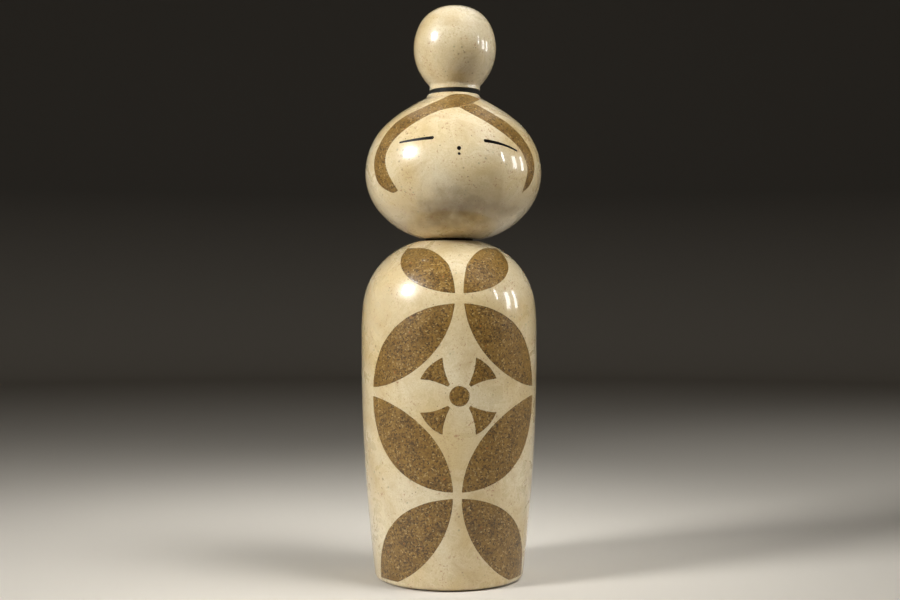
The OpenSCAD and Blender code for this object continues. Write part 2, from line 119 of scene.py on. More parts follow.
class Surface:
    """The outside of a turned piece: its outline round an upright axis, looked up by rise.

    Rise is height, and past round_from it is length along the outline, so that a flat pattern
    laid on the surface keeps its size where the surface turns over.
    """

    def __init__(self, start, heading, steps, axis_x=0.0, round_from=None):
        places = traced((Vector(start), heading), steps, turn=0.25, length=0.5)
        self.axis_x = axis_x
        self.radii = np.array([p.x for p, _ in places])
        self.heights = np.array([p.y for p, _ in places])
        self.headings = np.radians([h for _, h in places])
        self.rises = self.heights.copy()
        if round_from is not None:
            lengths = np.hypot(np.diff(self.radii), np.diff(self.heights))
            first = np.searchsorted(self.heights, round_from - 1e-6)
            self.rises[first:] = self.heights[first] + np.append(0, np.cumsum(lengths[first:]))

    def at(self, rises):
        """Radius, height and heading at some rises."""
        return [np.interp(rises, self.rises, column) for column in (self.radii, self.heights, self.headings)]

    def at_height(self, heights):
        """Radius and heading at some heights."""
        return [np.interp(heights, self.heights, column) for column in (self.radii, self.headings)]


# ---- The three turned pieces, as the CAD model has them ----
BODY_LOW, BODY_HIGH = span("body")
HEAD_LOW, HEAD_HIGH = span("head")
KNOT_LOW, KNOT_HIGH = span("topknot")
BAND_LOW, BAND_HIGH = span("topknot_band")
PEG_LOW, PEG_HIGH = span("neck_peg")
KNOT_PEG_LOW, KNOT_PEG_HIGH = span("topknot_peg")
PAD_LOW, PAD_HIGH = span("base_pad")
WASHER_LOW, WASHER_HIGH = span("neck_washer")

BODY_R = BODY_HIGH.x
BASE_ROUND = 3.0
TAPER_R = 1112.0
WAIST = 14.6
SHOULDER = [(146.5, 7), (45.5, 64.8), (20, 18.2)]
SHOULDER_Z = BODY_HIGH.z - travel(90, SHOULDER).y
TAPER_TURN = math.degrees(math.asin((SHOULDER_Z - WAIST - BODY_LOW.z - BASE_ROUND) / (TAPER_R - BASE_ROUND)))
BODY_STEPS = [(BASE_ROUND, 90 - TAPER_TURN), (TAPER_R, TAPER_TURN), (0, WAIST)] + SHOULDER
BODY_START = Vector((BODY_R - travel(0, BODY_STEPS[:2]).x, BODY_LOW.z))
BODY = Surface(BODY_START, 0, BODY_STEPS, round_from=SHOULDER_Z)

HEAD_X = (HEAD_LOW.x + HEAD_HIGH.x) / 2
HEAD_R = (HEAD_HIGH.x - HEAD_LOW.x) / 2
HEAD_BELOW = [(20, 14.5), (50.2, 37.4), (37.5, 38.1)]
TEMPLE = (42.5, 49.8)
CROWN_R = 104.0
COLLAR_R = 16.0
HOLLOW_R = 6.0
COLLAR_LEAN = 24.0
COLLAR_ROUND = 0.6
HEAD_YAW = math.radians(-3)


def head_steps():
    """The head's outline: its slope runs until the hollow under the collar takes over."""
    wide = Vector((HEAD_R, HEAD_LOW.z + travel(0, HEAD_BELOW).y))
    point, heading = turned((wide, 90), TEMPLE)
    centre = point + CROWN_R * left_of(heading)
    hollow = math.degrees(math.acos((COLLAR_R + HOLLOW_R - centre.x) / (CROWN_R + HOLLOW_R)))
    return HEAD_BELOW + [TEMPLE, (CROWN_R, hollow - TEMPLE[1]), (-HOLLOW_R, COLLAR_LEAN - hollow),
                         (COLLAR_ROUND, 90 - COLLAR_LEAN)]


HEAD_STEPS = head_steps()
HEAD_START = Vector((HEAD_R - travel(0, HEAD_BELOW).x, HEAD_LOW.z))
HEAD = Surface(HEAD_START, 0, HEAD_STEPS, axis_x=HEAD_X)

KNOT_X = (KNOT_LOW.x + KNOT_HIGH.x) / 2
KNOT_R = (KNOT_HIGH.x - KNOT_LOW.x) / 2
KNOT_LIP_R = 15.9
KNOT_LIP_ROUND = 0.4
KNOT_LIP_H = 1.9
KNOT_HOLLOW = 3.0
KNOT_SLOPE = 40.6
KNOT_SIDE = (32.2, KNOT_SLOPE + 27)
KNOT_BROW = (21.6, 44.8)
BAND_ROOM = BAND_LOW.z - HEAD_HIGH.z
KNOT_Z = BAND_HIGH.z + BAND_ROOM


def knot_steps():
    """The bun's outline, from its lip to the top of the ball."""
    widening = (KNOT_HOLLOW + KNOT_SIDE[0]) * (1 - math.cos(math.radians(KNOT_SLOPE)))
    slope = (KNOT_R - KNOT_LIP_R - widening) / math.sin(math.radians(KNOT_SLOPE))
    rise = [(KNOT_LIP_ROUND, 90), (0, KNOT_LIP_H - KNOT_LIP_ROUND), (-KNOT_HOLLOW, -KNOT_SLOPE), (0, slope),
            KNOT_SIDE, KNOT_BROW]
    last = 180 + KNOT_SLOPE - 90 - KNOT_SIDE[1] - KNOT_BROW[1]
    top_r = (KNOT_LIP_R - KNOT_LIP_ROUND + travel(0, rise).x) / math.sin(math.radians(last))
    return rise + [(top_r, last)]


KNOT_STEPS = knot_steps()
KNOT = Surface((KNOT_LIP_R - KNOT_LIP_ROUND, KNOT_Z), 0, KNOT_STEPS, axis_x=KNOT_X)

# ---- The pattern on the body: linked circles with a leaf where two overlap, and a flower ----
FLOWER_Z = BODY_HIGH.z - 93.9
CIRCLE_R = 58.5
CIRCLE_STRETCH = 1.085
PATTERN_LEAN = 0.008
PATTERN_SHIFT = 0.4
# Share of the body's narrowing towards its base that the pattern's angles make up for
BASE_SPREAD = 0.5
# The circles' hand-drawn differences
LOW_SIDE_EXTRA = 2.4
SIDE_AWAY = 1.4
FLOWER_CIRCLE_DROP = 1.2
LEAF_EDGE_R = CIRCLE_R - 2.4
LEAF_CORNER_R = 37.0
LEAF_CORNER_OUT = 37.0
TOP_MARGIN = 5.2
BASE_MARGIN = 3.3
FLOWER_MIDDLE_R = 6.1
FLARE_INNER_R = 8.8
FLARE_GAP = 2.6
PETAL_EDGE_R = 36.0
PETAL_HALF = 9.9
PETAL_REACH = 24.0


def middle_circle(k):
    """Middle and leaf-edge radius of a circle on the middle line, counted from the flower's."""
    return Vector((0, 2 * k * CIRCLE_R - (FLOWER_CIRCLE_DROP if k == 0 else 0))), LEAF_EDGE_R


def side_circle(side, up):
    """The same of a circle at the side, over (1) or under (-1) the flower's level."""
    extra = LOW_SIDE_EXTRA if up < 0 else 0
    return Vector((side * (CIRCLE_R + extra), up * (CIRCLE_R + SIDE_AWAY))), LEAF_EDGE_R + extra


FLARE_OUTER_R = side_circle(1, 1)[0].length - LEAF_EDGE_R - FLARE_GAP

# ---- The face: degrees from its middle, and millimetres above the head's underside ----
HAIR_APEX = (2, 78.8)
HAIR_NOTCH = (21, 82.4)
LEFT_OUTER = [(-42.5, 27.4), (-48.5, 26.4), (-57, 30.2), (-62, 35.4), (-64.8, 46), (-63.3, 55.4), (-57.5, 68.2),
              (-50, 74.6), (-37.5, 79.6), (-24, 84.4), (-9.5, 88.5), (12, 89.4), (30, 89.2), (47.5, 87.3)]
LEFT_INNER = [HAIR_APEX, (-17.8, 75.9), (-34.2, 68.4), (-46.5, 58.9), (-51.7, 49.5), (-49.8, 40.1), (-42.5, 27.4)]
LEFT_LEAF = [(47.5, 87.3), (37.5, 85.3), (29, 84), HAIR_NOTCH]
RIGHT_INNER = [(48.8, 26.6), (50, 36), (50.5, 42), (45.5, 52), (35.6, 60.2), (21.6, 68.9), (9.3, 75.2), HAIR_APEX]
RIGHT_OUTER = [HAIR_NOTCH, (27.4, 79.4), (43, 70), (52, 61.4), (58.6, 51.1), (60.2, 42.5), (56.1, 32.2), (48.8, 26.6)]
EYE_TURNS = (17.6, 41.6)
EYE_HEIGHTS = {-1: 58.1, 1: 56.4}
EYE_DROPS = {-1: 1.9, 1: 4.9}
EYE_BOWS = {-1: 0.1, 1: 0.8}
EYE_THICK = 1.05
EYE_THIN = 0.58
NOSE = (51.5, 1.25)
MOUTH = (48.2, 0.85)


# The stone's smoky clouds: middle and size in millimetres, stretch, and strength. The first two lie under the face and
# are painted shade as well as smoke: they darken the lower face, which gets no light from below
SMOKE_AND_SHADE = (((-6, -47, 227), 30, (1, 1, 1.9), 0.75), ((20, -44, 229), 20, (1, 1, 1.8), 0.45),
         ((14, -20, 322), 17, (1, 1, 1.1), 0.2), ((-30, 30, 240), 26, (1, 1, 1.4), 0.4),
         ((-20, 50, 60), 40, (1, 1, 0.6), 0.3))


# ---- Settings that a user would change ----
def length(name, description, millimetres):
    return bpy.props.FloatProperty(name=name, description=description, default=millimetres * MM,
                                   min=0.0, precision=5, unit="LENGTH")


def colour(name, description, code):
    return bpy.props.FloatVectorProperty(name=name, description=description, default=linear(code),
                                         size=4, min=0.0, max=1.0, subtype="COLOR")


def share(name, description, default):
    return bpy.props.FloatProperty(name=name, description=description, default=default,
                                   min=0.0, max=1.0, subtype="FACTOR")


def power(name, description, watts):
    return bpy.props.FloatProperty(name=name, description=description, default=watts, min=0.0, unit="POWER")


class InlaySettings(bpy.types.PropertyGroup):
    depth: length("Depth", "Thickness of the pattern and hair inlays", 2.0)
    face_depth: length("Face depth", "Thickness of the eyes, nose and mouth", 0.8)
    glue: length("Glue line", "Room round each inlay and under it", 0.05)
    rim: length("Rim", "Width of the rounded rim of an inlay", 0.1)
    wander: length("Wander", "How far the hand-cut edges wander", 0.16)
    mesh: length("Mesh", "Size of the faces on the inlays", 1.5)


class BandSettings(bpy.types.PropertyGroup):
    thread: length("Thread", "Diameter of the waxed thread", 0.5)
    nesting: share("Nesting", "Distance between layers, as a share of the thread", 0.9)


class StoneSettings(bpy.types.PropertyGroup):
    pale: colour("Pale", "Main colour of the polished stone", "#dfd3b4")
    warm: colour("Warm", "Colour of its broad warm clouds", "#cfba8c")
    ochre: colour("Ochre", "Colour of its ochre patches and grain", "#a98a55")
    # Smoke is also the colour of the painted shade on the lower face
    smoke: colour("Smoke", "Colour of its few smoky clouds", "#7a6238")
    rust: colour("Rust", "Colour of its rusty specks", "#94583a")
    # Pit is the painted shade at the floor of the pinholes, and also the colour of the dark specks
    moss: colour("Moss", "Colour of its grey-green specks", "#70745a")
    pit: colour("Pit", "Colour at the bottom of its pinholes", "#5a4528")
    cloud: length("Clouds", "Width of the broad clouds", 48)
    patch: length("Patches", "Width of the smoky patches", 16)
    grain: length("Grain", "Width of the fine grain", 0.9)
    freckle: length("Freckles", "Width of the rusty freckles", 1.4)
    pits: length("Pit spacing", "Distance between pinholes", 7)
    coat: share("Polish", "Roughness of the polished skin", 0.06)


class GritSettings(bpy.types.PropertyGroup):
    dark: colour("Dark", "Colour of the darkest grains", "#38240c")
    brown: colour("Brown", "Colour of most grains", "#795925")
    tan: colour("Tan", "Colour of the lighter grains", "#96753a")
    pale: colour("Pale", "Colour of the pale flakes", "#c6ac78")
    rust: colour("Rust", "Colour of the orange grains", "#a4632c")
    grain: length("Grain", "Width of a grain of the inlay's sand", 0.9)
    mottle: length("Mottling", "Width of the light and dark mottling", 9)
    coat: share("Polish", "Roughness of the polished skin", 0.09)


class StudioSettings(bpy.types.PropertyGroup):
    floor: colour("Floor", "Colour of the pale floor", "#c8c2b7")
    wall: colour("Wall", "Colour of the paper behind the doll", "#77736c")
    fade: length("Fade", "Height over which the paper turns from floor to wall", 450)
    key: power("Key light", "Power of the left softbox", 5.4)
    fill: power("Fill light", "Power of the right fill, which doesn't show in the polish", 0.9)
    side: power("Side lights", "Power of the right lights", 1.6)
    top: power("Top light", "Power of the overhead softbox", 1.6)
    grid: bpy.props.FloatProperty(name="Grid", description="Spread that the grids let through",
                                  default=math.radians(46), subtype="ANGLE")
    sky: share("Sky", "Strength of the light from all round", 0.03)
    lens: bpy.props.FloatProperty(name="Lens", description="Focal length in millimetres", default=52.0)
    distance: length("Distance", "Distance from the camera to the doll's axis", 821)
    eye_level: length("Height", "Height of the camera", 174.4)
    aside: length("Aside", "How far the camera is moved to its right", 0.6)
    azimuth: bpy.props.FloatProperty(name="Azimuth", description="Angle of the camera from the front",
                                     default=math.radians(-6.5), subtype="ANGLE")


SETTINGS = {"doll_inlay": InlaySettings, "doll_band": BandSettings, "doll_stone": StoneSettings,
            "doll_grit": GritSettings, "doll_studio": StudioSettings}


# ---- Making meshes ----
def to_object(name, bm):
    """Object in metres from a mesh in millimetres."""
    bmesh.ops.recalc_face_normals(bm, faces=bm.faces)
    bmesh.ops.scale(bm, vec=(MM, MM, MM), verts=bm.verts)
    mesh = bpy.data.meshes.new(name)
    bm.to_mesh(mesh)
    bm.free()
    piece = bpy.data.objects.new(name, mesh)
    bpy.context.scene.collection.objects.link(piece)
    return piece


def dress(piece, material, body, slot, *nodes):
    """Gives a finished piece its material, and puts it in its CAD nodes' place."""
    piece.data.materials.clear()
    piece.data.materials.append(material)
    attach(piece, body)
    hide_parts(*nodes)


def shade(piece, surface=None, sharp=math.radians(35)):
    """Smooth shading with sharp edges kept. On a turned surface the exact normals are set."""
    mesh = piece.data
    mesh.shade_smooth()
    mesh.set_sharp_from_angle(angle=sharp)
    if surface is None:
        return
    corners = np.empty(len(mesh.loops), np.int32)
    mesh.loops.foreach_get("vertex_index", corners)
    points = np.empty(len(mesh.vertices) * 3, np.float32)
    mesh.vertices.foreach_get("co", points)
    x, y, z = points.reshape(-1, 3)[corners].T.astype(float) / MM
    sizes = np.empty(len(mesh.polygons), np.int32)
    mesh.polygons.foreach_get("loop_total", sizes)
    faces = np.empty(len(mesh.polygons) * 3, np.float32)
    mesh.polygons.foreach_get("normal", faces)
    facing = np.repeat(faces.reshape(-1, 3), sizes, axis=0)
    across = np.hypot(x - surface.axis_x, y)
    radius, heading = surface.at_height(z)
    out = np.sin(heading) / np.maximum(across, 1e-6)
    exact = np.column_stack([out * (x - surface.axis_x), out * y, -np.cos(heading)])
    near = np.abs((across - radius) * np.sin(heading)) < 0.03
    level = np.einsum("ij,ij->i", exact, facing) > 0.985
    exact[~(near & level)] = 0
    mesh.normals_split_custom_set(exact)


def spun(points, steps, axis_x=0.0):
    """Mesh turned from an outline in (radius, height) whose ends lie on the axis."""
    bm = bmesh.new()
    verts = [bm.verts.new((radius, 0, height)) for radius, height in points]
    edges = [bm.edges.new(pair) for pair in zip(verts, verts[1:])]
    bmesh.ops.spin(bm, geom=verts + edges, cent=(0, 0, 0), axis=(0, 0, 1), dvec=(0, 0, 0),
                   angle=math.tau, steps=steps, use_merge=True, use_normal_flip=False, use_duplicate=False)
    bmesh.ops.remove_doubles(bm, verts=bm.verts, dist=1e-3)
    bmesh.ops.translate(bm, vec=(axis_x, 0, 0), verts=bm.verts)
    bmesh.ops.recalc_face_normals(bm, faces=bm.faces)
    return bm


def joined(objects):
    """One mesh object that holds the meshes of several, which are removed."""
    bm = bmesh.new()
    for other in objects:
        bm.from_mesh(other.data)
        bpy.data.objects.remove(other)
    mesh = bpy.data.meshes.new("cutters")
    bm.to_mesh(mesh)
    bm.free()
    cutter = bpy.data.objects.new("cutters", mesh)
    bpy.context.scene.collection.objects.link(cutter)
    return cutter


def cut(piece, cutters):
    """Takes the cutters away from a piece, and keeps the result as its mesh."""
    cutter = joined(cutters)
    pockets = piece.modifiers.new("pockets", "BOOLEAN")
    pockets.operation = "DIFFERENCE"
    pockets.solver = "MANIFOLD"
    pockets.object = cutter
    graph = bpy.context.evaluated_depsgraph_get()
    mesh = bpy.data.meshes.new_from_object(piece.evaluated_get(graph))
    piece.modifiers.clear()
    piece.data = mesh
    bpy.data.objects.remove(cutter)


# ---- Flat outlines of the inlays, in millimetres ----
def draw_arc(bm, centre, radius, start, turn, step=0.6):
    """Row of edges along part of a circle. Angles are in degrees."""
    angle = math.radians(start)
    first = bm.verts.new((centre[0] + radius * math.cos(angle), centre[1] + radius * math.sin(angle), 0))
    sweep = math.radians(turn)
    bmesh.ops.spin(bm, geom=[first], cent=(centre[0], centre[1], 0), axis=(0, 0, 1), dvec=(0, 0, 0), angle=sweep,
                   steps=max(2, math.ceil(abs(sweep) * radius / step)), use_merge=False,
                   use_normal_flip=False, use_duplicate=False)


def draw_line(bm, points):
    """Row of edges through some points."""
    verts = [bm.verts.new((p[0], p[1], 0)) for p in points]
    for pair in zip(verts, verts[1:]):
        bm.edges.new(pair)


def fill(bm):
    """One face inside the closed row of edges, facing +Z."""
    bmesh.ops.remove_doubles(bm, verts=bm.verts, dist=0.02)
    bmesh.ops.contextual_create(bm, geom=bm.edges[:])
    bm.normal_update()
    if sum(f.calc_area() * f.normal.z for f in bm.faces) < 0:
        bmesh.ops.reverse_faces(bm, faces=bm.faces)


def round_corners(bm, size, sharpest=30):
    """Rounds the corners of the outline that are sharper than an angle."""
    bm.normal_update()
    corners = [v for v in bm.verts if v.calc_edge_angle(0) > math.radians(sharpest)]
    bmesh.ops.bevel(bm, geom=corners, offset=size, offset_type="OFFSET", segments=3, profile=0.5,
                    affect="VERTICES", material=-1, clamp_overlap=False)


def wander(bm, amount, seed):
    """Lets a hand-cut outline wander a little, with a small nick here and there."""
    shift = Vector((13.7, 5.1, 2.9)) * seed
    for v in bm.verts:
        slow = noise.noise_vector(v.co / 5 + shift)
        quick = noise.noise_vector(v.co / 1.1 - shift)
        nick = max(0.0, noise.noise(v.co / 1.6 + 2 * shift) - 0.35)
        way = 0.6 * slow + 0.5 * quick + 3 * nick * quick
        v.co += amount * Vector((way.x, way.y, 0))


def keep_below(bm, height, below=True):
    """Cuts a flat outline off at a height."""
    bmesh.ops.bisect_plane(bm, geom=bm.verts[:] + bm.edges[:] + bm.faces[:], dist=1e-4, plane_co=(0, height, 0),
                           plane_no=(0, 1 if below else -1, 0), clear_outer=True, clear_inner=False)


def slice_up(bm, size):
    """Slices a flat mesh both ways, so that it can bend over the surface."""
    for axis in (0, 1):
        low = min(v.co[axis] for v in bm.verts)
        high = max(v.co[axis] for v in bm.verts)
        way = Vector((0, 0, 0))
        way[axis] = 1
        count = math.ceil((high - low) / size)
        for k in range(1, count):
            bmesh.ops.bisect_plane(bm, geom=bm.verts[:] + bm.edges[:] + bm.faces[:], dist=1e-4,
                                   plane_co=way * (low + (high - low) * k / count), plane_no=way)


def thicken(bm, depth):
    """Gives a flat mesh a thickness downwards, with a level underside."""
    made = bmesh.ops.extrude_face_region(bm, geom=bm.faces[:])
    for v in made["geom"]:
        if isinstance(v, bmesh.types.BMVert):
            v.co.z = -depth


def wrap(bm, surface, turn_of):
    """Lays a flat mesh on a surface: X is along it, Y is rise and Z stands out from it."""
    flat = np.array([v.co for v in bm.verts])
    radius, height, heading = surface.at(flat[:, 1])
    angle = turn_of(flat[:, 0], flat[:, 1], radius)
    radius = radius + flat[:, 2] * np.sin(heading)
    height = height - flat[:, 2] * np.cos(heading)
    places = np.column_stack([surface.axis_x + radius * np.sin(angle), -radius * np.cos(angle), height])
    for v, place in zip(bm.verts, places):
        v.co = place


def inlay(name, surface, turn_of, draw, seed, depth, roughness=1.0, trim=None, rim=None):
    """The inlay drawn by draw(bm), and the cutter for its pocket."""
    sizes = bpy.context.scene.doll_inlay
    bm = bmesh.new()
    draw(bm)
    fill(bm)
    wander(bm, roughness * sizes.wander / MM, seed)
    if trim:
        trim(bm)
    round_corners(bm, 0.45)
    pocket = bm.copy()
    slice_up(pocket, sizes.mesh / MM)
    bmesh.ops.translate(pocket, vec=(0, 0, 1), verts=pocket.verts)
    thicken(pocket, (depth + sizes.glue) / MM)
    wrap(pocket, surface, turn_of)
    # The rim: the outline steps in and up to the surface
    rim = rim or sizes.rim / MM
    face = bm.faces[:]
    for thickness, lift in ((sizes.glue / MM, 0), (0.4 * rim, 0.7 * rim), (0.6 * rim, 0.3 * rim)):
        around = bmesh.ops.inset_region(bm, faces=face, thickness=thickness, depth=0, use_boundary=True,
                                        use_even_offset=True)["faces"]
        if lift == 0:
            bmesh.ops.delete(bm, geom=around, context="FACES")
        else:
            bmesh.ops.translate(bm, vec=(0, 0, lift), verts=list({v for f in face for v in f.verts}))
    bmesh.ops.translate(bm, vec=(0, 0, 0.01 - rim), verts=bm.verts)
    slice_up(bm, sizes.mesh / MM)
    thicken(bm, depth / MM)
    wrap(bm, surface, turn_of)
    piece = to_object(name, bm)
    shade(piece, surface)
    return piece, to_object(name + "_pocket", pocket)


# ---- How a flat place becomes an angle round the doll ----
def pattern_turn(u, rise, radius):
    """On the body, with the pattern's stretch, its lean, and its spread towards the base."""
    narrowing = np.where(rise < FLOWER_Z, BODY_R - radius, 0)
    shifted = u - PATTERN_SHIFT + PATTERN_LEAN * (rise - FLOWER_Z)
    return shifted * CIRCLE_STRETCH / (BODY_R - BASE_SPREAD * narrowing)


def seen_square(azimuth):
    """For a small piece that is drawn as seen square to the surface at an azimuth."""
    return lambda u, rise, radius: azimuth + np.arcsin(u / radius)


def hair_turn(u, rise, radius):
    return HEAD_YAW + u / HEAD_R


# ---- Materials ----
def add_node(tree, kind, inputs=None, out=None, **settings):
    """Adds a node with its settings, and returns its named or first output in use.

    An input is a value, or the output that feeds it.
    """
    made = tree.nodes.new(kind)
    for key, value in settings.items():
        setattr(made, key, value)
    for key, value in (inputs or {}).items():
        slot = made.inputs[key]
        if isinstance(key, str):
            slot = next(s for s in made.inputs if s.name == key and s.enabled)
        if isinstance(value, bpy.types.NodeSocket):
            tree.links.new(value, slot)
        else:
            slot.default_value = value
    return made.outputs[out] if out else next(s for s in made.outputs if s.enabled)


def new_material(name, values):
    """Material with one Principled shader, its tree and the object's own coordinates."""
    material = bpy.data.materials.new(name)
    material.use_nodes = True
    tree = material.node_tree
    shader = tree.nodes["Principled BSDF"]
    for key, value in values.items():
        shader.inputs[key].default_value = value
    return material, tree, shader, add_node(tree, "ShaderNodeTexCoord", out="Object")


def feed(tree, shader, **sources):
    """Links outputs to the shader's sockets."""
    for key, source in sources.items():
        tree.links.new(source, shader.inputs[key.replace("_", " ")])


def tinted(tree, base, tint, source, low, high, most=1.0):
    """The base with a tint over it, by how far the source has come from low to high."""
    amount = add_node(tree, "ShaderNodeMapRange", {"Value": source, "From Min": low, "From Max": high, "To Max": most})
    return add_node(tree, "ShaderNodeMix", {"Factor": amount, "A": base, "B": tuple(tint)}, data_type="RGBA")


def smoke_and_shade_cloud(tree, base, tint, place, middle, size, stretch, most):
    """The base with one ragged dark cloud over it, placed and sized in millimetres: smoke in the stone, and under the
    face painted shade as well.
    """
    offset = add_node(tree, "ShaderNodeVectorMath", {0: place, 1: Vector(middle) * MM}, operation="SUBTRACT")
    scaled = add_node(tree, "ShaderNodeVectorMath", {0: offset, 1: stretch}, operation="MULTIPLY")
    away = add_node(tree, "ShaderNodeVectorMath", {0: scaled}, operation="LENGTH")
    ragged = add_node(tree, "ShaderNodeTexNoise", {"Vector": place, "Scale": 1 / (9 * MM), "Detail": 4.0, "Roughness": 0.6})
    edge = add_node(tree, "ShaderNodeMath", {0: ragged, 1: 1.75 * size * MM, 2: away}, operation="MULTIPLY_ADD")
    return tinted(tree, base, tint, edge, 1.88 * size * MM, 0.98 * size * MM, most)


def polished_stone():
    """Honed and waxed limestone: warm clouds, fine grain, and a skin glossy enough to mirror a window."""
    look = bpy.context.scene.doll_stone
    material, tree, shader, place = new_material("polished_limestone", {
        "IOR": 1.5, "Coat Weight": 1.0, "Coat Roughness": look.coat, "Coat IOR": 1.5,
        "Subsurface Weight": 0.1, "Subsurface Scale": 0.0015, "Subsurface Radius": (1.0, 0.7, 0.4)})
    clouds = add_node(tree, "ShaderNodeTexNoise", {"Vector": place, "Scale": 1 / look.cloud, "Detail": 2.0,
                                                   "Distortion": 0.6})
    base = tinted(tree, tuple(look.pale), look.warm, clouds, 0.35, 0.65)
    smoke = add_node(tree, "ShaderNodeTexNoise", {"Vector": place, "Scale": 1 / look.patch, "Detail": 6.0,
                                                  "Roughness": 0.65, "Distortion": 0.8})
    base = tinted(tree, base, look.ochre, smoke, 0.5, 0.8, 0.6)
    # Smoky clouds; the two under the face are also painted shade on the lower face
    for middle, size, stretch, strength in SMOKE_AND_SHADE:
        base = smoke_and_shade_cloud(tree, base, look.smoke, place, middle, size, stretch, strength)
    # Fine grain, and rusty freckles between the grains
    flour = add_node(tree, "ShaderNodeTexNoise", {"Vector": place, "Scale": 1 / look.grain, "Detail": 3.0,
                                                  "Roughness": 0.7})
    base = tinted(tree, base, look.ochre, flour, 0.3, 0.75, 0.4)
    freckles = add_node(tree, "ShaderNodeTexNoise", {"Vector": place, "Scale": 1 / look.freckle, "Detail": 3.0,
                                                     "Roughness": 0.6})
    loose = add_node(tree, "ShaderNodeTexNoise", {"Vector": place, "Scale": 1 / (11 * MM), "Detail": 2.0})
    grouped = add_node(tree, "ShaderNodeMath", {0: loose, 1: 0.35, 2: freckles}, operation="MULTIPLY_ADD")
    base = tinted(tree, base, look.rust, grouped, 0.78, 0.92, 0.7)
    # Mossy and dark specks, each about half a millimetre, in loose groups
    groups = add_node(tree, "ShaderNodeTexNoise", {"Vector": place, "Scale": 1 / (26 * MM), "Detail": 1.0})
    for tint, spacing, size in ((look.moss, 4.7 * MM, 0.1), (look.pit, 5.3 * MM, 0.08)):
        specks = add_node(tree, "ShaderNodeTexVoronoi", {"Vector": place, "Scale": 1 / spacing})
        held = add_node(tree, "ShaderNodeMath", {0: groups, 1: -0.5, 2: specks}, operation="MULTIPLY_ADD")
        base = tinted(tree, base, tint, held, size - 0.26, size - 0.31, 0.45)
    # Pinholes that the polish couldn't close; the dark colour at their floors is painted shade
    cells = add_node(tree, "ShaderNodeTexVoronoi", {"Vector": place, "Scale": 1 / look.pits})
    holes = add_node(tree, "ShaderNodeMapRange", {"Value": cells, "From Min": 0.06, "From Max": 0.035})
    base = tinted(tree, base, look.pit, holes, 0.0, 1.0, 0.85)
    # The hand-finished skin is a little uneven, so that reflections waver
    swell = add_node(tree, "ShaderNodeTexNoise", {"Vector": place, "Scale": 1 / (14 * MM), "Detail": 2.0})
    waves = add_node(tree, "ShaderNodeBump", {"Height": swell, "Distance": 0.12 * MM})
    dents = add_node(tree, "ShaderNodeBump", {"Height": holes, "Distance": 0.12 * MM, "Normal": waves}, invert=True)
    dull = add_node(tree, "ShaderNodeMapRange", {"Value": smoke, "From Min": 0.3, "From Max": 0.8, "To Min": 0.24,
                                                 "To Max": 0.36})
    feed(tree, shader, Base_Color=base, Roughness=dull, Normal=dents, Coat_Normal=dents)
    return material


def brown_inlay():
    """Brown sand bound in resin, ground flush and polished: each grain keeps its own brown."""
    look = bpy.context.scene.doll_grit
    material, tree, shader, place = new_material("ground_sand_inlay", {
        "IOR": 1.5, "Coat Weight": 0.45, "Coat Roughness": look.coat, "Coat IOR": 1.5})
    bent = add_node(tree, "ShaderNodeTexNoise", {"Vector": place, "Scale": 1 / (1.3 * MM), "Detail": 1.0}, "Color")
    uneven = add_node(tree, "ShaderNodeVectorMath", {0: bent, 1: (0.9 * MM,) * 3, 2: place}, operation="MULTIPLY_ADD")
    grains = add_node(tree, "ShaderNodeTexVoronoi", {"Vector": uneven, "Scale": 1 / look.grain}, "Color")
    parts = add_node(tree, "ShaderNodeSeparateColor", {"Color": grains}).node.outputs
    base = tinted(tree, tuple(look.brown), look.tan, parts["Red"], 0.0, 1.0)
    base = tinted(tree, base, look.dark, parts["Green"], 0.62, 0.9, 0.8)
    base = tinted(tree, base, look.pale, parts["Blue"], 0.86, 0.97, 0.6)
    fine = add_node(tree, "ShaderNodeTexNoise", {"Vector": place, "Scale": 1 / (0.5 * MM), "Detail": 3.0,
                                                 "Roughness": 0.6})
    base = tinted(tree, base, look.dark, fine, 0.35, 0.75, 0.5)
    mottle = add_node(tree, "ShaderNodeTexNoise", {"Vector": place, "Scale": 1 / look.mottle, "Detail": 5.0,
                                                   "Roughness": 0.65})
    base = tinted(tree, base, look.tan, mottle, 0.5, 0.75, 0.35)
    base = tinted(tree, base, look.dark, mottle, 0.5, 0.28, 0.55)
    # Larger pale flakes that lie aslant, dark pits, and a few orange grains
    leaning = add_node(tree, "ShaderNodeMapping", {"Vector": uneven, "Rotation": (0.3, 0.6, 0.4), "Scale": (1, 1, 2.2)})
    for tint, where, spacing, size in ((look.pale, leaning, 5.5 * MM, 0.13), (look.dark, uneven, 4.1 * MM, 0.16),
                                       (look.rust, uneven, 8.3 * MM, 0.09)):
        chips = add_node(tree, "ShaderNodeTexVoronoi", {"Vector": where, "Scale": 1 / spacing})
        base = tinted(tree, base, tint, chips, size, size * 0.5, 0.75)
    dull = add_node(tree, "ShaderNodeMapRange", {"Value": parts["Red"], "To Min": 0.3, "To Max": 0.5})
    relief = add_node(tree, "ShaderNodeBump", {"Height": parts["Green"], "Distance": 0.02 * MM})
    feed(tree, shader, Base_Color=base, Roughness=dull, Normal=relief, Coat_Normal=relief)
    return material


def black_lacquer():
    """Black lacquer rubbed into the cuts: deep and satin, with a little dust in it."""
    material, tree, shader, place = new_material("black_lacquer", {"IOR": 1.45, "Roughness": 0.3})
    dust = add_node(tree, "ShaderNodeTexNoise", {"Vector": place, "Scale": 1 / (0.7 * MM)})
    feed(tree, shader, Base_Color=tinted(tree, linear("#060403"), linear("#1d1610"), dust, 0.55, 0.8, 0.5))
    return material


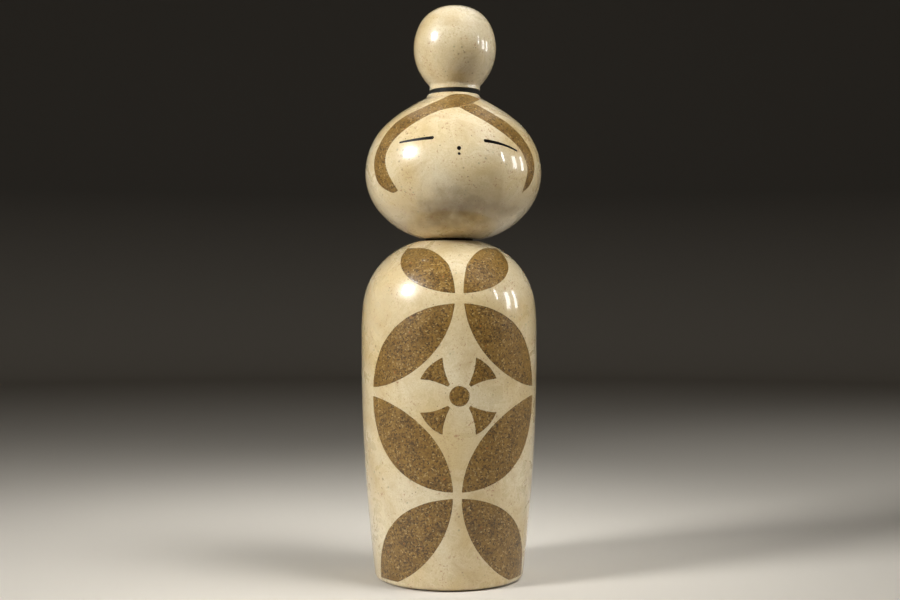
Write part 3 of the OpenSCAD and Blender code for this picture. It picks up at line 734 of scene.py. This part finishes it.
def waxed_thread():
    """Black waxed linen thread: matt fibre under a thin wax, with paler rubbed streaks along it."""
    material, tree, shader, place = new_material("waxed_thread", {
        "IOR": 1.45, "Roughness": 0.5, "Sheen Weight": 0.05, "Sheen Roughness": 0.5})
    along = add_node(tree, "ShaderNodeMapping", {"Vector": place, "Scale": (1, 1, 5)})
    rubbed = add_node(tree, "ShaderNodeTexNoise", {"Vector": along, "Scale": 1 / (2.5 * MM), "Detail": 3.0})
    twist = add_node(tree, "ShaderNodeTexNoise", {"Vector": along, "Scale": 1 / (0.35 * MM)})
    fibres = add_node(tree, "ShaderNodeBump", {"Height": twist, "Distance": 0.05 * MM})
    feed(tree, shader, Base_Color=tinted(tree, linear("#090a07"), linear("#26281c"), rubbed, 0.45, 0.75), Normal=fibres)
    return material


def turned_beech():
    """Turned beech: pinkish tan, with the short dark flecks of its rays along the grain."""
    material, tree, shader, place = new_material("turned_beech", {"IOR": 1.5, "Roughness": 0.5})
    along = add_node(tree, "ShaderNodeMapping", {"Vector": place, "Scale": (1, 1, 0.12)})
    rings = add_node(tree, "ShaderNodeTexNoise", {"Vector": along, "Scale": 1 / (3.5 * MM), "Detail": 3.0,
                                                  "Distortion": 0.5})
    base = tinted(tree, linear("#cfa878"), linear("#b98d5c"), rings, 0.35, 0.65)
    short = add_node(tree, "ShaderNodeMapping", {"Vector": place, "Scale": (1, 1, 0.25)})
    rays = add_node(tree, "ShaderNodeTexVoronoi", {"Vector": short, "Scale": 1 / (0.9 * MM)})
    base = tinted(tree, base, linear("#8a5f38"), rays, 0.22, 0.1, 0.6)
    pores = add_node(tree, "ShaderNodeTexNoise", {"Vector": along, "Scale": 1 / (0.6 * MM)})
    relief = add_node(tree, "ShaderNodeBump", {"Height": pores, "Distance": 0.03 * MM})
    feed(tree, shader, Base_Color=base, Normal=relief)
    return material


def dark_leather():
    """Oiled dark leather cut from a hide: fine pebbled grain, satin."""
    material, tree, shader, place = new_material("oiled_leather", {"IOR": 1.45, "Roughness": 0.55})
    pebbles = add_node(tree, "ShaderNodeTexVoronoi", {"Vector": place, "Scale": 1 / (0.8 * MM)}, feature="SMOOTH_F1")
    grain = add_node(tree, "ShaderNodeBump", {"Height": pebbles, "Distance": 0.08 * MM}, invert=True)
    feed(tree, shader, Base_Color=tinted(tree, linear("#4a3423"), linear("#2a1c13"), pebbles, 0.2, 0.8), Normal=grain)
    return material


def wool_felt():
    """Pressed brown wool felt: matted fibres with no weave, and a soft sheen at its edge."""
    material, tree, shader, place = new_material("wool_felt", {
        "IOR": 1.4, "Roughness": 0.95, "Sheen Weight": 0.5, "Sheen Roughness": 0.6})
    fibres = add_node(tree, "ShaderNodeTexNoise", {"Vector": place, "Scale": 1 / (0.8 * MM), "Detail": 5.0,
                                                   "Roughness": 0.7, "Distortion": 2.5})
    nap = add_node(tree, "ShaderNodeBump", {"Height": fibres, "Distance": 0.25 * MM})
    feed(tree, shader, Base_Color=tinted(tree, linear("#4b3024"), linear("#6d4a39"), fibres, 0.35, 0.65), Normal=nap)
    return material


def sweep_paper():
    """Matt studio paper, pale on the floor and sprayed greyer up the wall."""
    look = bpy.context.scene.doll_studio
    material, tree, shader, place = new_material("sweep_paper", {"Roughness": 0.9})
    height = add_node(tree, "ShaderNodeSeparateXYZ", {"Vector": place}, "Z")
    feed(tree, shader, Base_Color=tinted(tree, tuple(look.floor), look.wall, height, 0.0, look.fade))
    return material


MADE = {}


def material_of(maker):
    """The material that a maker makes, made once."""
    if maker not in MADE:
        MADE[maker] = maker()
    return MADE[maker]


# ---- Operators: one for each piece or group of like pieces ----
SPIN_STEPS = 256
POCKETS = {"body": [], "head": []}


def finish_inlay(name, made, maker, body, slot):
    """Dresses an inlay and keeps the cutter of its pocket for the stone."""
    piece, pocket = made
    dress(piece, material_of(maker), body, slot, name)
    POCKETS[body].append(pocket)


def leaf(side, row):
    """Draws the leaf in a middle and a side circle. Rows count up from the base leaves at -1."""
    inward = middle_circle(-1 if row < 0 else (1 if row > 1 else 0))
    outward = side_circle(side, 1 if row > 0 else -1)
    level = Vector((0, FLOWER_Z))

    def draw(bm):
        for (start, radius), (end, other) in ((inward, outward), (outward, inward)):
            across = end - start
            reach = across.length
            tip = math.degrees(math.acos((reach ** 2 + radius ** 2 - other ** 2) / (2 * reach * radius)))
            draw_arc(bm, start + level, radius, math.degrees(math.atan2(across.y, across.x)) - tip, 2 * tip)
    return draw


def round_top_corner(bm, side, limit):
    """Rounds the inner corner at the top of a top leaf, with many small straight cuts."""
    middle = Vector((side * LEAF_CORNER_OUT, limit - LEAF_CORNER_R, 0))
    for degrees in range(20, 90, 3):
        angle = math.radians(degrees)
        way = Vector((-side * math.cos(angle), math.sin(angle), 0))
        bmesh.ops.bisect_plane(bm, geom=bm.verts[:] + bm.edges[:] + bm.faces[:], dist=1e-4,
                               plane_co=middle + LEAF_CORNER_R * way, plane_no=way, clear_outer=True)


def top_limit():
    """Rise of the ring where the top leaves are cut off."""
    return float(np.interp(BODY_HIGH.z - TOP_MARGIN, BODY.heights, BODY.rises))


class DOLL_OT_leaves(bpy.types.Operator):
    """Lay the eight leaves of the linked circles into the body"""
    bl_idname = "doll.leaves"
    bl_label = "Leaves"

    def execute(self, context):
        sizes = context.scene.doll_inlay
        limits = (BODY_LOW.z + BASE_MARGIN, top_limit())
        rows = {-1: "base", 0: "lower", 1: "upper", 2: "top"}
        for seed, (row, height) in enumerate(rows.items()):
            for side, hand in ((-1, "left"), (1, "right")):
                def trim(bm, side=side, row=row):
                    keep_below(bm, limits[1])
                    keep_below(bm, limits[0], below=False)
                    if row == 2:
                        round_top_corner(bm, side, limits[1])

                name = f"leaf_{height}_{hand}"
                made = inlay(name + "_inlay", BODY, pattern_turn, leaf(side, row), 2 * seed + side, sizes.depth,
                             trim=trim)
                finish_inlay(name, made, brown_inlay, "body", "brown_grit")
        return {"FINISHED"}


def meeting(radius, centre, edge_r):
    """Angle at which a circle round the flower's middle meets a petal's edge, in degrees."""
    far = math.hypot(*centre)
    opening = math.acos((radius ** 2 + far ** 2 - edge_r ** 2) / (2 * radius * far))
    return math.degrees(math.atan2(centre[1], centre[0]) - opening)


def flare(side, up):
    """Draws the brown flare between two petals of the flower."""
    edge = (PETAL_HALF - PETAL_EDGE_R, PETAL_REACH)
    ends = [meeting(r, edge, PETAL_EDGE_R) for r in (FLARE_INNER_R, FLARE_OUTER_R)]
    turns = []
    for radius, angle in zip((FLARE_INNER_R, FLARE_OUTER_R), ends):
        x = radius * math.cos(math.radians(angle)) - edge[0]
        y = radius * math.sin(math.radians(angle)) - edge[1]
        turns.append(math.degrees(math.atan2(y, x)))

    def draw(bm):
        for radius, angle in zip((FLARE_INNER_R, FLARE_OUTER_R), ends):
            draw_arc(bm, (0, 0), radius, angle, 90 - 2 * angle)
        draw_arc(bm, edge, PETAL_EDGE_R, turns[0], turns[1] - turns[0])
        draw_arc(bm, (edge[1], edge[0]), PETAL_EDGE_R, 90 - turns[0], turns[0] - turns[1])
        bmesh.ops.scale(bm, vec=(side, up, 1), verts=bm.verts)
        bmesh.ops.translate(bm, vec=(0, FLOWER_Z, 0), verts=bm.verts)
    return draw


class DOLL_OT_flower(bpy.types.Operator):
    """Lay the flower's middle and its four flares into the body"""
    bl_idname = "doll.flower"
    bl_label = "Flower"

    def execute(self, context):
        sizes = context.scene.doll_inlay
        square = seen_square(0)
        seed = 20
        for up, height in ((1, "upper"), (-1, "lower")):
            for side, hand in ((-1, "left"), (1, "right")):
                seed += 1
                name = f"flower_{height}_{hand}"
                made = inlay(name + "_inlay", BODY, square, flare(side, up), seed, sizes.depth, roughness=1.8)
                finish_inlay(name, made, brown_inlay, "body", "brown_grit")

        def middle(bm):
            draw_arc(bm, (0, FLOWER_Z), FLOWER_MIDDLE_R, 0, 360)

        made = inlay("flower_middle_inlay", BODY, square, middle, seed + 1, sizes.depth)
        finish_inlay("flower_middle", made, brown_inlay, "body", "brown_grit")
        return {"FINISHED"}


def bore(radius, low, high, mouth_up, axis_x=0.0):
    """Cutter for a blind bore with a small chamfer at its mouth, which is at one end of its height."""
    chamfer = 0.4
    over = 1.0
    ends = (low, high) if mouth_up else (high, low)
    way = 1 if mouth_up else -1
    points = [(0, ends[0]), (radius, ends[0]), (radius, ends[1] - way * chamfer), (radius + chamfer, ends[1]),
              (radius + chamfer, ends[1] + way * over), (0, ends[1] + way * over)]
    return to_object("bore", spun(points, 96, axis_x))


class DOLL_OT_body(bpy.types.Operator):
    """Turn the stone body, with its bore, its pad recess and the pockets of the pattern"""
    bl_idname = "doll.body"
    bl_label = "Body"

    def execute(self, context):
        recess_r = PAD_HIGH.x + 0.3
        soft_edge = 0.5
        outline = [(0, PAD_HIGH.z), (recess_r, PAD_HIGH.z), (recess_r, BODY_LOW.z + soft_edge),
                   (recess_r + soft_edge, BODY_LOW.z)]
        outline += [tuple(p) for p, _ in traced((BODY_START, 0), BODY_STEPS)]
        outline.append((0, BODY_HIGH.z))
        piece = to_object("body_stone", spun(outline, SPIN_STEPS))
        peg_r = PEG_HIGH.x + 0.08
        cut(piece, POCKETS["body"] + [bore(peg_r, PEG_LOW.z - 2, BODY_HIGH.z, True)])
        shade(piece, BODY)
        dress(piece, material_of(polished_stone), "body", "pale_stone", "body")
        return {"FINISHED"}


def smooth_row(points, steps=5):
    """Points along a smooth curve through a list, in millimetres round the widest place and up."""
    spots = [Vector((math.radians(a) * HEAD_R, HEAD_LOW.z + h)) for a, h in points]
    ends = [spots[0]] + spots + [spots[-1]]
    row = []
    for a, b, c, d in zip(ends, ends[1:], ends[2:], ends[3:]):
        for k in range(steps):
            t = k / steps
            row.append(b + 0.5 * t * (c - a + t * (2 * a - 5 * b + 4 * c - d + t * (3 * (b - c) + d - a))))
    return row + [spots[-1]]


class DOLL_OT_hair(bpy.types.Operator):
    """Lay the two locks of hair into the head"""
    bl_idname = "doll.hair"
    bl_label = "Hair"

    def execute(self, context):
        depth = context.scene.doll_inlay.depth
        locks = {"hair_left": (LEFT_LEAF, LEFT_INNER, LEFT_OUTER), "hair_right": (RIGHT_OUTER, RIGHT_INNER)}
        for seed, (name, edges) in enumerate(locks.items()):
            def draw(bm, edges=edges):
                rows = [smooth_row(edge) for edge in edges]
                draw_line(bm, [p for row in rows for p in row] + [rows[0][0]])

            made = inlay(name + "_inlay", HEAD, hair_turn, draw, 30 + seed, depth)
            finish_inlay(name, made, brown_inlay, "head", "brown_grit")
        return {"FINISHED"}


def eye(side):
    """Draws a closed eye: a gently bowed slit, round and thick inside, thin outside."""
    half = math.radians(EYE_TURNS[1] - EYE_TURNS[0]) / 2
    start_z = HEAD_LOW.z + EYE_HEIGHTS[side]
    heights = (start_z, start_z - EYE_DROPS[side])
    radii = HEAD.at_height(np.array(heights))[0]
    inner = Vector((-side * radii[0] * math.sin(half), heights[0]))
    outer = Vector((side * radii[1] * math.sin(half), heights[1]))
    along = (outer - inner).normalized()
    up = Vector((-along.y, along.x)) * (1 if along.x > 0 else -1)

    def draw(bm):
        count = 16
        edges = []
        for sign in (1, -1):
            row = []
            for k in range(count + 1):
                t = k / count
                middle = inner.lerp(outer, t) + up * EYE_BOWS[side] * 4 * t * (1 - t)
                row.append(middle + sign * up * (EYE_THICK + t * (EYE_THIN - EYE_THICK)))
            edges.append(row)
        draw_line(bm, edges[0] + edges[1][::-1])
        start = math.degrees(math.atan2(up.y, up.x))
        turn = 180 if along.x > 0 else -180
        draw_arc(bm, inner, EYE_THICK, start, turn, step=0.2)
    return draw


class DOLL_OT_face(bpy.types.Operator):
    """Lay the eyes, the nose and the mouth into the head"""
    bl_idname = "doll.face"
    bl_label = "Face"

    def execute(self, context):
        depth = context.scene.doll_inlay.face_depth
        middle = math.radians(sum(EYE_TURNS) / 2)
        for side, name in ((-1, "eye_left"), (1, "eye_right")):
            made = inlay(name + "_inlay", HEAD, seen_square(HEAD_YAW + side * middle), eye(side), 40 + side, depth,
                         roughness=0.2, rim=0.04)
            finish_inlay(name, made, black_lacquer, "head", "black_lacquer")
        for name, (height, radius) in {"nose_dot": NOSE, "mouth_dot": MOUTH}.items():
            def draw(bm, height=height, radius=radius):
                draw_arc(bm, (0, HEAD_LOW.z + height), radius, 0, 360, step=0.2)

            made = inlay(name + "_inlay", HEAD, seen_square(HEAD_YAW), draw, 50, depth, roughness=0.5, rim=0.04)
            finish_inlay(name, made, black_lacquer, "head", "black_lacquer")
        return {"FINISHED"}


class DOLL_OT_head(bpy.types.Operator):
    """Turn the stone head, with its bores and the pockets of the hair and face"""
    bl_idname = "doll.head"
    bl_label = "Head"

    def execute(self, context):
        outline = [(0, HEAD_LOW.z)] + [tuple(p) for p, _ in traced((HEAD_START, 0), HEAD_STEPS)]
        outline.append((0, HEAD_HIGH.z))
        piece = to_object("head_stone", spun(outline, SPIN_STEPS, HEAD_X))
        bores = [bore(PEG_HIGH.x + 0.08, HEAD_LOW.z, PEG_HIGH.z + 2, False),
                 bore(KNOT_PEG_HIGH.x - KNOT_X + 0.05, KNOT_PEG_LOW.z - 2, HEAD_HIGH.z, True, KNOT_X)]
        cut(piece, POCKETS["head"] + bores)
        shade(piece, HEAD)
        dress(piece, material_of(polished_stone), "head", "pale_stone", "head")
        return {"FINISHED"}


class DOLL_OT_topknot(bpy.types.Operator):
    """Turn the bun, with the neck that its band is wound on"""
    bl_idname = "doll.topknot"
    bl_label = "Topknot"

    def execute(self, context):
        core_r = 13.0
        bore_r = KNOT_PEG_HIGH.x - KNOT_X + 0.05
        bore_top = KNOT_PEG_HIGH.z + 2
        outline = [(0, bore_top), (bore_r, bore_top), (bore_r, KNOT_LOW.z), (core_r, KNOT_LOW.z), (core_r, KNOT_Z)]
        start = Vector((KNOT_LIP_R - KNOT_LIP_ROUND, KNOT_Z))
        outline += [tuple(p) for p, _ in traced((start, 0), KNOT_STEPS)]
        piece = to_object("topknot_stone", spun(outline, SPIN_STEPS, KNOT_X))
        shade(piece, KNOT)
        dress(piece, material_of(polished_stone), "head", "pale_stone", "topknot")
        return {"FINISHED"}


class DOLL_OT_band(bpy.types.Operator):
    """Wind the waxed thread under the bun, layer on layer"""
    bl_idname = "doll.band"
    bl_label = "Band"

    def execute(self, context):
        look = context.scene.doll_band
        thread = look.thread / MM
        inner = 13.0 + thread / 2
        outer = (BAND_HIGH.x - BAND_LOW.x) / 2 - thread / 2
        layers = math.ceil((outer - inner) / (look.nesting * thread)) + 1
        turns = (BAND_HIGH.z - BAND_LOW.z - thread) / thread
        steps = math.ceil(turns * 96)
        bm = bmesh.new()
        for layer in range(layers):
            radius = inner + (outer - inner) * layer / (layers - 1)
            upright = Matrix.Rotation(math.pi / 2, 4, "X")
            start = Matrix.Rotation(2.2 * layer, 4, "Z")
            place = start @ Matrix.Translation((radius, 0, BAND_LOW.z + thread / 2)) @ upright
            ring = bmesh.ops.create_circle(bm, cap_ends=True, segments=10, radius=thread / 2, matrix=place)["verts"]
            edges = list({e for v in ring for e in v.link_edges})
            made = bmesh.ops.spin(bm, geom=ring + edges, cent=(0, 0, 0), axis=(0, 0, 1),
                                  dvec=(0, 0, turns * thread / steps), angle=math.tau * turns, steps=steps,
                                  use_merge=False, use_normal_flip=False, use_duplicate=False)
            last = [g for g in made["geom_last"] if isinstance(g, bmesh.types.BMEdge)]
            bmesh.ops.contextual_create(bm, geom=last)
        bmesh.ops.translate(bm, vec=(KNOT_X, 0, 0), verts=bm.verts)
        piece = to_object("topknot_band_thread", bm)
        shade(piece, sharp=math.radians(50))
        dress(piece, material_of(waxed_thread), "head", "band_thread", "topknot_band")
        return {"FINISHED"}


def peg_outline(low, high, radius, grooves):
    """A turned peg: chamfered ends, and shallow grooves at some heights."""
    chamfer = 1.2
    groove = 0.35
    points = [(0, low), (radius - chamfer, low), (radius, low + chamfer)]
    for z in grooves:
        points += [(radius, z - groove), (radius - groove, z), (radius, z + groove)]
    return points + [(radius, high - chamfer), (radius - chamfer, high), (0, high)]


class DOLL_OT_pegs(bpy.types.Operator):
    """Turn the neck peg and the bun's peg"""
    bl_idname = "doll.pegs"
    bl_label = "Pegs"

    def execute(self, context):
        grooves = [PEG_HIGH.z - 8, PEG_HIGH.z - 6]
        neck = to_object("neck_peg_beech", spun(peg_outline(PEG_LOW.z, PEG_HIGH.z, PEG_HIGH.x, grooves), 96))
        radius = KNOT_PEG_HIGH.x - KNOT_X
        knot = to_object("topknot_peg_beech",
                         spun(peg_outline(KNOT_PEG_LOW.z, KNOT_PEG_HIGH.z, radius, []), 64, KNOT_X))
        for piece in (neck, knot):
            shade(piece, sharp=math.radians(25))
        dress(neck, material_of(turned_beech), "neck", "peg_wood", "neck_peg")
        dress(knot, material_of(turned_beech), "head", "peg_wood", "topknot_peg")
        return {"FINISHED"}


def flat_ring(low, high, inner, outer, soft):
    """Closed ring with softly rounded edges, or a disc where inner is 0."""
    bm = bmesh.new()
    corners = [(inner, low), (outer, low), (outer, high), (inner, high)]
    verts = [bm.verts.new((r, 0, z)) for r, z in corners]
    face = bm.faces.new(verts)
    rounded = [v for v in verts if v.co.x > 0.1]
    bmesh.ops.bevel(bm, geom=rounded, offset=soft, offset_type="OFFSET", segments=4, profile=0.5,
                    affect="VERTICES", material=-1)
    edges = [e for e in bm.edges if inner > 0 or any(v.co.x > 1e-6 for v in e.verts)]
    bmesh.ops.delete(bm, geom=bm.faces[:], context="FACES_ONLY")
    verts = list({v for e in edges for v in e.verts})
    bmesh.ops.spin(bm, geom=verts + edges, cent=(0, 0, 0), axis=(0, 0, 1), dvec=(0, 0, 0), angle=math.tau,
                   steps=128, use_merge=True, use_normal_flip=False, use_duplicate=False)
    bmesh.ops.remove_doubles(bm, verts=bm.verts, dist=1e-3)
    loose = [e for e in bm.edges if not e.link_faces]
    bmesh.ops.delete(bm, geom=loose, context="EDGES")
    return bm


class DOLL_OT_washer(bpy.types.Operator):
    """Cut the leather washer between the body and the head"""
    bl_idname = "doll.washer"
    bl_label = "Washer"

    def execute(self, context):
        ring = flat_ring(WASHER_LOW.z, WASHER_HIGH.z, PEG_HIGH.x + 0.3, WASHER_HIGH.x, 0.35)
        piece = to_object("neck_washer_leather", ring)
        shade(piece)
        dress(piece, material_of(dark_leather), "neck", "washer_leather", "neck_washer")
        return {"FINISHED"}


class DOLL_OT_felt(bpy.types.Operator):
    """Cut the felt pad that the doll stands on"""
    bl_idname = "doll.felt"
    bl_label = "Felt pad"

    def execute(self, context):
        piece = to_object("base_pad_felt", flat_ring(PAD_LOW.z, PAD_HIGH.z, 0.0, PAD_HIGH.x, 0.5))
        shade(piece)
        dress(piece, material_of(wool_felt), "body", "felt", "base_pad")
        return {"FINISHED"}


class DOLL_OT_stage(bpy.types.Operator):
    """Set up the pale sweep, the lights and the camera"""
    bl_idname = "doll.stage"
    bl_label = "Studio"

    def execute(self, context):
        look = context.scene.doll_studio
        sweep_r = 2600.0
        corner = 500.0
        wall = 1300.0
        steps = [(0, sweep_r - corner), (corner, 90), (0, wall)]
        outline = [tuple(p) for p, _ in traced((Vector((0, 0)), 0), steps, turn=6, length=2500)]
        sweep = to_object("sweep", spun(outline, 96))
        sweep.data.flip_normals()
        shade(sweep)
        sweep.data.materials.append(sweep_paper())
        self.light("key_softbox", -67, 27, (0.32, 0.26), 1.25, look.key)
        self.light("key_grid", -67, 27, (0.32, 0.26), 1.25, look.key * 0.2, spread=look.grid)
        self.light("fill_grid", 55, 55, (0.5, 0.5), 0.8, look.fill, spread=look.grid, polish=False)
        self.light("overhead", 172, 72, (0.9, 0.9), 1.0, look.top)
        self.light("strip", 61, 20, (0.05, 0.3), 1.3, look.side * 0.5)
        self.light("window_left", 78, 13, (0.16, 0.34), 1.3, look.side)
        self.light("window_right", 92, 12, (0.1, 0.34), 1.3, look.side * 0.7)
        self.light("front_card", -12, 10, (0.34, 0.22), 1.5, look.side * 0.08)
        context.scene.view_settings.view_transform = "Standard"
        world = bpy.data.worlds.new("studio")
        context.scene.world = world
        world.use_nodes = True
        background = world.node_tree.nodes["Background"]
        background.inputs["Color"].default_value = linear("#f3d9b4")
        background.inputs["Strength"].default_value = look.sky
        camera = bpy.data.cameras.new("camera")
        camera.lens = look.lens
        camera.sensor_width = 36
        camera.clip_start = 0.01
        holder = bpy.data.objects.new("camera", camera)
        context.scene.collection.objects.link(holder)
        across, back = math.sin(look.azimuth), -math.cos(look.azimuth)
        aside = look.aside
        holder.location = (across * look.distance - back * aside, back * look.distance + across * aside, look.eye_level)
        holder.rotation_euler = (math.pi / 2, 0, look.azimuth)
        context.scene.camera = holder
        return {"FINISHED"}

    def light(self, name, azimuth, elevation, size, distance, watts, spread=math.pi, polish=True):
        """Softbox that faces the doll's neck, at a direction from it. It may be kept out of the polish."""
        lamp = bpy.data.lights.new(name, "AREA")
        lamp.shape = "RECTANGLE"
        lamp.size, lamp.size_y = size
        lamp.energy = watts
        lamp.spread = spread
        holder = bpy.data.objects.new(name, lamp)
        holder.visible_glossy = polish
        bpy.context.scene.collection.objects.link(holder)
        a, e = math.radians(azimuth), math.radians(elevation)
        out = Vector((math.sin(a) * math.cos(e), -math.cos(a) * math.cos(e), math.sin(e)))
        holder.location = Vector((0, 0, HEAD_LOW.z * MM)) + distance * out
        holder.rotation_euler = out.to_track_quat("Z", "Y").to_euler()


OPERATORS = (DOLL_OT_stage, DOLL_OT_leaves, DOLL_OT_flower, DOLL_OT_body, DOLL_OT_hair, DOLL_OT_face, DOLL_OT_head,
             DOLL_OT_topknot, DOLL_OT_band, DOLL_OT_pegs, DOLL_OT_washer, DOLL_OT_felt)


class DOLL_PT_panel(bpy.types.Panel):
    """Lists the doll's settings and the operators that build it"""
    bl_idname = "DOLL_PT_panel"
    bl_label = "Kokeshi doll"
    bl_space_type = "VIEW_3D"
    bl_region_type = "UI"
    bl_category = "Kokeshi"

    def draw(self, context):
        for name, group in SETTINGS.items():
            box = self.layout.box()
            for prop in group.__annotations__:
                box.prop(getattr(context.scene, name), prop)
        for operator in OPERATORS:
            self.layout.operator(operator.bl_idname)


CLASSES = tuple(SETTINGS.values()) + OPERATORS + (DOLL_PT_panel,)


def register():
    for item in CLASSES:
        bpy.utils.register_class(item)
    for name, group in SETTINGS.items():
        setattr(bpy.types.Scene, name, bpy.props.PointerProperty(type=group))


def unregister():
    for name in SETTINGS:
        delattr(bpy.types.Scene, name)
    for item in reversed(CLASSES):
        bpy.utils.unregister_class(item)


def main():
    register()
    for operator in OPERATORS:
        getattr(bpy.ops.doll, operator.bl_idname.split(".")[1])()


if __name__ == "__main__":
    main()
